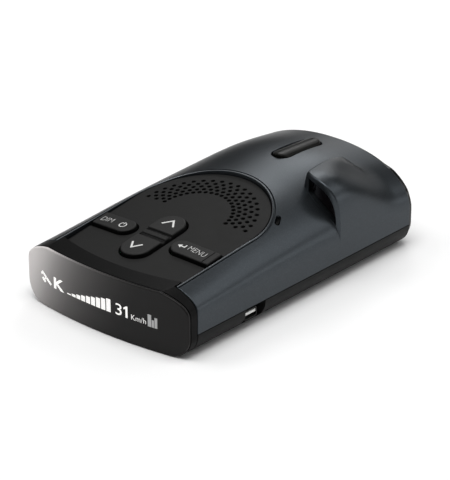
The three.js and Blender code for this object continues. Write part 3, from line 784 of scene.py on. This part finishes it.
def bezel_ring(inset, forward, behind, t):
    x = spread(HALF_W - inset, 150)
    x = np.sort(np.concatenate([x, [s * APRON_HALF + d for s in (-1, 1) for d in (-0.01, 0.01)]]))
    k = HALF_W / (HALF_W - inset)
    y = (face_y(x) + WINDOW_T + GAP + forward) * (1 - t) + (bezel_back(x) - behind) * t
    hi = np.column_stack([x, y, face_z(x * k, y) - inset])
    lo = np.column_stack([x, y, bottom_z(x * k) + inset])[::-1]
    ring = np.concatenate([hi, lo])
    ring[:, 1] += FACE_LEAN * (1 - t) * (1 - ring[:, 2] / FACE_TOP)
    return ring


rings = [bezel_ring(0.1 * out, 0.1 * inn, 0, 0) for out, inn in FILLET[::-1]]
rings += [bezel_ring(0, 0.1, 0.12, t) for t in (0.33, 0.67, 1)]
rings.append(bezel_ring(0.12, 0, 0, 1))
bezel = strip_capped("front_bezel_frame", rings)


def hollow_top(x, y):
    return np.minimum(top_z(x, -55 + 0 * y), FACE_TOP - 0.5)


boolean(bezel, body_loft("hollow", fixed(-70), fixed(-40), hollow_top, inset=2.1, edge=0.01, mid=1, n=60))
boolean(bezel, brick("under_apron", -40, 40, SHELL_FRONT - GAP + 0.001, -40, -1, 17))
tidy(bezel, 30)
true_normals(bezel, [exact_top(face_z), exact_side])
finish_piece(bezel, BAND, "housing", "gloss_black", "front_bezel")


# ---- keypad, modelled in its own tilted frame ----
def crown(rise):
    return lambda x, y: rise - PANEL_CROWN * x * x


panel = grid_slab("keypad_plate", even(-27, 27, 60), lambda x: tilted(apron_edge(x)), fixed(46), 24,
                  crown(0), crown(-PANEL_T))
plate_line = u_outline(U_HALF - KEY_GAP, -22, tilted(U_END_Y), 1.012)
boolean(panel, rimmed("plate_edge", plate_line, crown(0), 0.3, -1, -8, 4), "INTERSECT")
for side in (-1, 1):
    boolean(panel, rimmed("key_hole", key_outline(side, HOLE_GAP), crown(0), KEY_RIM, 1, -8, 4))
rocker_hole = dense(stadium(0, 0, ROCKER_W + HOLE_GAP, ROCKER_L - ROCKER_W), 0.8)
boolean(panel, rimmed("rocker_hole", rocker_hole, crown(0), KEY_RIM, 1, -8, 4))
holes = []
for ring, r in enumerate(RINGS):
    for i in range(19 if ring % 2 else 20):
        a = math.pi * (i + (1 if ring % 2 else 0.5)) / 20
        hx, hy = r * math.cos(a), tilted(U_END_Y) + r * math.sin(a)
        top = -PANEL_CROWN * hx * hx
        holes.append(disc_stack("hole", hx, hy, [(HOLE_R, -8), (HOLE_R, top - 0.1), (HOLE_R + 0.1, top),
                                                 (HOLE_R + 0.4, top + 0.3)], 18))
boolean(panel, join("holes", holes))
tidy(panel, 30)
true_normals(panel, [exact_top(crown(0))])
place(panel, KEYPAD)
finish_piece(panel, PANEL, "housing", "keypad_black", "keypad_panel")


STEM = [(1.4, -3.4), (1.4, -1)]


def key_cap(name, outline, surf, stems, cuts=(), edge=0.55):
    """A key: a crowned cap with a soft top edge, on one or two stems."""
    cap = grid_slab(name, even(-27, 27, 72), fixed(-20), fixed(20), 60, surf, crown(-PANEL_T - 0.2))
    boolean(cap, rimmed(name + "_edge", outline, surf, edge, -1, -8, 4), "INTERSECT")
    for cut in cuts:
        boolean(cap, cut)
    for sx, sy in stems:
        boolean(cap, disc_stack("stem", sx, sy, STEM, 24), "UNION")
    tidy(cap, 30)
    true_normals(cap, [exact_top(surf)])
    return place(cap, KEYPAD)


top_key = crown(KEY_RISE)
groove = grid_slab("groove", even(22.05, 22.35, 3), fixed(-6), fixed(8), 1, crown(4), crown(KEY_RISE - 0.35))
power_cap = key_cap("power_key_cap", key_outline(-1, 0), top_key, [(-15, 0)])
finish_piece(power_cap, KEY, "power_key", "key_black", "power_button")
menu_cap = key_cap("menu_key_cap", key_outline(1, 0), top_key, [(15, 0)], [groove])
finish_piece(menu_cap, KEY, "menu_key", "key_black", "menu_button")


def rocker_top(x, y):
    """Two pads with a saddle between them and a grip bar across the saddle."""
    dip = smooth((3.2 - y) / 0.5) * smooth((y + 2.1) / 0.5)
    bar = smooth((y + 0.3) / 0.45) * smooth((2.1 - y) / 0.45)
    return KEY_RISE - PANEL_CROWN * x * x - 0.8 * dip + 0.55 * bar


rocker_line = dense(stadium(0, 0, ROCKER_W, ROCKER_L - ROCKER_W), 0.35)
rocker = grid_slab("rocker_cap", even(-6, 6, 24), fixed(-14), fixed(14), 200, rocker_top,
                   crown(-PANEL_T - 0.2))
boolean(rocker, rimmed("rocker_edge", rocker_line, rocker_top, 0.55, -1, -8, 4), "INTERSECT")
for sy in (-8.2, 8.2):
    boolean(rocker, disc_stack("stem", 0, sy, STEM, 24), "UNION")
tidy(rocker, 30)
true_normals(rocker, [exact_top(rocker_top)])
finish_piece(place(rocker, KEYPAD), KEY, "rocker", "key_black", "rocker_key")


# ---- printed legends and lit segments: thin relief laid on a surface ----
INK_RISE, INK_SINK = 0.03, 0.02


def relief(name, polygons, lay, mat, body):
    """Each polygon, in flat coordinates, becomes a thin plate; lay(u, v, w) puts a point on the surface."""
    points, faces = [], []
    for poly in polygons:
        k, n = len(points), len(poly)
        points += [lay(u, v, w) for w in (-INK_SINK, INK_RISE) for u, v in poly]
        faces.append(tuple(range(k + n - 1, k - 1, -1)))
        faces.append(tuple(range(k + n, k + 2 * n)))
        faces += [(k + i, k + (i + 1) % n, k + n + (i + 1) % n, k + n + i) for i in range(n)]
    obj = make(name, points, faces)
    obj.data.shade_flat()
    finish_piece(obj, mat, body)


def lettering(name, text, x0, x1, y0, y1, lay, mat, body, bold=0.0):
    """Plain generic letters filling a rectangle in flat coordinates, laid on a surface."""
    curve = bpy.data.curves.new(name, "FONT")
    curve.body = text
    curve.extrude = 0.02
    curve.offset = bold
    curve.resolution_u = 4
    obj = bpy.data.objects.new(name, curve)
    bpy.context.scene.collection.objects.link(obj)
    graph = bpy.context.evaluated_depsgraph_get()
    mesh = bpy.data.meshes.new_from_object(obj.evaluated_get(graph))
    bpy.data.objects.remove(obj)
    co = np.array([v.co[:] for v in mesh.vertices])
    lo, hi = co.min(0), co.max(0)
    u = x0 + (co[:, 0] - lo[0]) / (hi[0] - lo[0]) * (x1 - x0)
    v = y0 + (co[:, 1] - lo[1]) / (hi[1] - lo[1]) * (y1 - y0)
    w = np.where(co[:, 2] > 0, INK_RISE, -INK_SINK)
    faces = [tuple(p.vertices) for p in mesh.polygons]
    bpy.data.meshes.remove(mesh)
    made = make(name, [lay(*p) for p in zip(u, v, w)], faces)
    made.data.shade_flat()
    finish_piece(made, mat, body)


def on_key(u, v, w):
    """From the plan position in mm to the top of a key."""
    x, y = u, tilted(v)
    return tuple(KEYPAD @ Vector((x, y, KEY_RISE - PANEL_CROWN * x * x + w)))


def on_face(u, v, w):
    """From width and height in mm to the front of the display window."""
    return (u, float(face_y(u) + FACE_LEAN * (1 - v / FACE_TOP)) - w, v)


def stroke(points, width):
    """A ribbon polygon along a polyline, with square ends."""
    p = np.array(points, float)
    e = np.diff(p, axis=0)
    n = np.stack([-e[:, 1], e[:, 0]], -1) / np.linalg.norm(e, axis=1)[:, None]
    m = np.vstack([n[:1], n[1:] + n[:-1], n[-1:]])
    m[1:-1] /= (m[1:-1] ** 2).sum(1)[:, None] / 2
    return [tuple(q) for q in np.concatenate([p - m * width / 2, (p + m * width / 2)[::-1]])]


def arc_points(cx, cy, rx, ry, a0, a1, n=24):
    return [(cx + rx * math.cos(a), cy + ry * math.sin(a)) for a in np.linspace(math.radians(a0),
                                                                              math.radians(a1), n)]


lettering("legend_dim", "DIM", -22.4, -17.6, -33.7, -31.5, on_key, INK, "power_key", bold=-0.022)
relief("legend_power", [stroke(arc_points(-12.9, -33.2, 1.2, 1.2, 115, 425), 0.34),
                        stroke([(-12.9, -32.9), (-12.9, -31.6)], 0.3)], on_key, INK, "power_key")
lettering("legend_menu", "MENU", 14.4, 21.0, -33.4, -31.2, on_key, INK, "menu_key", bold=-0.022)
relief("legend_enter", [stroke([(13.0, -31.7), (13.0, -33.0), (11.4, -33.0)], 0.42),
                        [(10.4, -33.0), (11.7, -33.9), (11.7, -32.1)]], on_key, INK, "menu_key")
relief("legend_up", [stroke([(-2.5, -26.4), (0.0, -23.4), (2.3, -26.4)], 0.62)], on_key, INK, "rocker")
relief("legend_down", [stroke([(-2.8, -39.3), (-0.9, -42.2), (1.3, -39.3)], 0.62)], on_key, INK, "rocker")

lettering("segment_band", "K", -20.6, -15.6, 8.2, 12.1, on_face, LIT, "housing", bold=0.03)
dish = [([(-26.5, 12.0), (-24.4, 10.5)], 0.8), ([(-24.2, 10.3), (-22.0, 8.7)], 0.9),
        ([(-26.3, 9.9), (-24.9, 8.7)], 0.9), ([(-26.5, 10.9), (-26.9, 11.6)], 0.5),
        ([(-25.6, 9.4), (-24.4, 10.4)], 0.5)]
relief("segment_dish", [stroke(line, width) for line, width in dish], on_face, LIT, "housing")
bars = []
for i in range(9):
    x = -14.2 + 2.17 * i
    bars.append([(x, 8.5), (x + 1.75, 8.5), (x + 1.75, 8.85 + 0.5 * i), (x, 8.85 + 0.5 * i)])
relief("segment_bars", bars, on_face, LIT, "housing")
lettering("segment_tens", "3", 6.9, 9.4, 8.6, 12.5, on_face, LIT, "housing")
relief("segment_units", [[(10.9, 8.6), (11.7, 8.6), (11.7, 12.5), (11.2, 12.5), (10.1, 11.8), (10.1, 11.2),
                          (10.9, 11.5)]], on_face, LIT, "housing")
lettering("segment_unit", "Km/h", 13.1, 18.7, 8.6, 10.4, on_face, LIT, "housing", bold=-0.012)
relief("segment_levels", [[(19.4, 8.2), (20.7, 8.2), (20.7, 12.3), (19.4, 12.3)],
                          [(20.9, 8.2), (21.7, 8.2), (21.7, 10.7), (20.9, 10.7)],
                          [(21.9, 8.2), (22.9, 8.2), (22.9, 11.7), (21.9, 11.7)]],
       on_face, DIM_LIT, "housing")


# ---- release button ----
def pill_top(x, y):
    return crest(PILL_Y) + 0.6 - 0.05 * (y - PILL_Y) - 0.09 * x * x


pill_line = dense(stadium(0, PILL_Y, PILL_R, PILL_HALF), 0.7)
pill = grid_slab("release_cap", even(-4, 4, 24), fixed(25), fixed(50), 60, pill_top,
                 lambda x, y: 27.9 + 0 * x)
boolean(pill, rimmed("pill_edge", pill_line, pill_top, 0.7, -1, 20, 40), "INTERSECT")
flange = stadium(0, PILL_Y, PILL_R + 1, PILL_HALF - 2)
boolean(pill, loops("flange", [at_height(flange, 27.9), at_height(flange, 28.4)]), "UNION")
tidy(pill, 30)
true_normals(pill, [exact_top(pill_top)])
finish_piece(pill, BUTTON, "release", "gloss_black", "release_button")


# ---- rear laser window: a smoked pane with a bowed face, filling the back of the mouth ----
def pane_ring(offset):
    ring = mouth_ring(GAP, 0)
    ring[:, 1] += offset
    return ring


lens = strip_capped("rear_laser_pane", [pane_ring(1.8), pane_ring(MOUTH_DEPTH - GAP)])
finish_piece(lens, LENS, "housing", "window_tint", "rear_laser_window")

# ---- USB socket and case screws ----
def usb_brick(name, wall, x0, x1, r):
    half_y, half_z = USB_HALF_Y - wall, USB_HALF_Z - wall
    return brick(name, USB_Y - half_y, USB_Y + half_y, USB_Z - half_z, USB_Z + half_z, x0, x1, r)


jack = usb_brick("usb_can", 0, USB_X0, USB_X1, 0.7)
boolean(jack, usb_brick("usb_inside", USB_WALL, 24, 34, 0.4))
tidy(place(jack, TO_X), 30)
# Darkened steel on the socket shell: painted shade in its recess.
finish_piece(jack, SHADED_STEEL, "housing", "connector_steel", "usb_shell")

for i, (x, y) in enumerate(SCREWS):
    screw = disc_stack(f"screw_{i + 1}", x, y, [(1.7, 0.7), (2.1, 0.95), (2.1, 2.0), (1.1, 2.6), (1.1, 15.0),
                                                (0.4, 16.0)])
    for sx, sy in ((1.25, 0.24), (0.24, 1.25)):
        boolean(screw, brick("cross", x - sx, x + sx, y - sy, y + sy, 0.5, 1.75))
    tidy(screw, 30)
    finish_piece(screw, BLACK_ZINC, "housing", "screw_steel", f"case_screw_{i + 1}")

# ---- finishes for the nodes shown as they are in the CAD ----
KEPT = {
    "display_module": GLOSS, "display_board": BOARD, "keypad_board": BOARD, "main_board": BOARD,
    "switch_power": STEEL, "switch_menu": STEEL, "switch_up": STEEL, "switch_down": STEEL,
    # The speaker frame's darkened steel is painted shade behind the grille holes.
    "speaker_frame": SHADED_STEEL, "speaker_cone": CONE, "speaker_magnet": CAST, "rf_shield": STEEL,
    "processor": CASE, "gps_patch": CERAMIC, "backup_cell": STEEL, "horn_antenna": CAST,
    "usb_tongue": CONTACT,
    "rear_sensor": CASE, "front_sensor": CASE, "front_lens": LENS, "light_sensor_window": SHADE,
    "bracket_socket": CASE, "release_latch": CASE, "latch_spring_left": STEEL, "latch_spring_right": STEEL,
}
for name, mat in KEPT.items():
    mesh = NODES[name].data
    mesh.materials.clear()
    mesh.materials.append(mat)

# ---- studio ----
world = bpy.data.worlds.new("studio")
bpy.context.scene.world = world
world.use_nodes = True
world.node_tree.nodes["Background"].inputs["Color"].default_value = (1, 1, 1, 1)
world.node_tree.nodes["Background"].inputs["Strength"].default_value = 0.09
bpy.context.scene.view_settings.view_transform = "Standard"

floor_mesh = bpy.data.meshes.new("floor")
floor_mesh.from_pydata([(-6, -6, 0), (6, -6, 0), (6, 6, 0), (-6, 6, 0)], [], [(0, 1, 2, 3)])
floor = bpy.data.objects.new("floor", floor_mesh)
bpy.context.scene.collection.objects.link(floor)
floor.data.materials.append(material("pale_floor", (0.9, 0.9, 0.9), 0.7, scale=40, tint=0.01))


def softbox(name, azimuth, elevation, distance, width, height, power):
    """An area light facing the object, from a compass direction (0 is in front, 90 to the right)."""
    light = bpy.data.lights.new(name, "AREA")
    light.shape = "RECTANGLE"
    light.size, light.size_y, light.energy = width, height, power
    a, e = math.radians(azimuth), math.radians(elevation)
    way = Vector((math.sin(a) * math.cos(e), -math.cos(a) * math.cos(e), math.sin(e)))
    obj = bpy.data.objects.new(name, light)
    bpy.context.scene.collection.objects.link(obj)
    obj.location = way * distance + Vector((0, 0, AIM_Z * MM))
    obj.rotation_euler = way.to_track_quat("Z", "Y").to_euler()


# Name, azimuth and elevation in degrees, distance, width and height in metres, power in watts.
for light_row in [
    ("overhead", 30, 82, 1.1, 0.8, 0.8, 10.4),
    ("left_front", 300, 45, 0.8, 0.5, 0.5, 2.0),
    ("right_rear", 136, 40, 0.8, 0.5, 0.5, 1.15),
    ("right_high", 166, 54, 0.8, 0.3, 0.2, 0.13),
    ("right_low", 129, 9, 0.8, 0.5, 0.17, 0.5),
    ("rear_middle", 201.5, 33, 0.8, 0.19, 0.27, 0.29),
    ("rear_right", 184, 14, 0.8, 0.36, 0.26, 0.15),
    ("rear_left", 215, 35, 0.8, 0.19, 0.22, 0.62),
    ("rear_low", 209, 14, 0.8, 0.14, 0.3, 0.14),
]:
    softbox(*light_row)
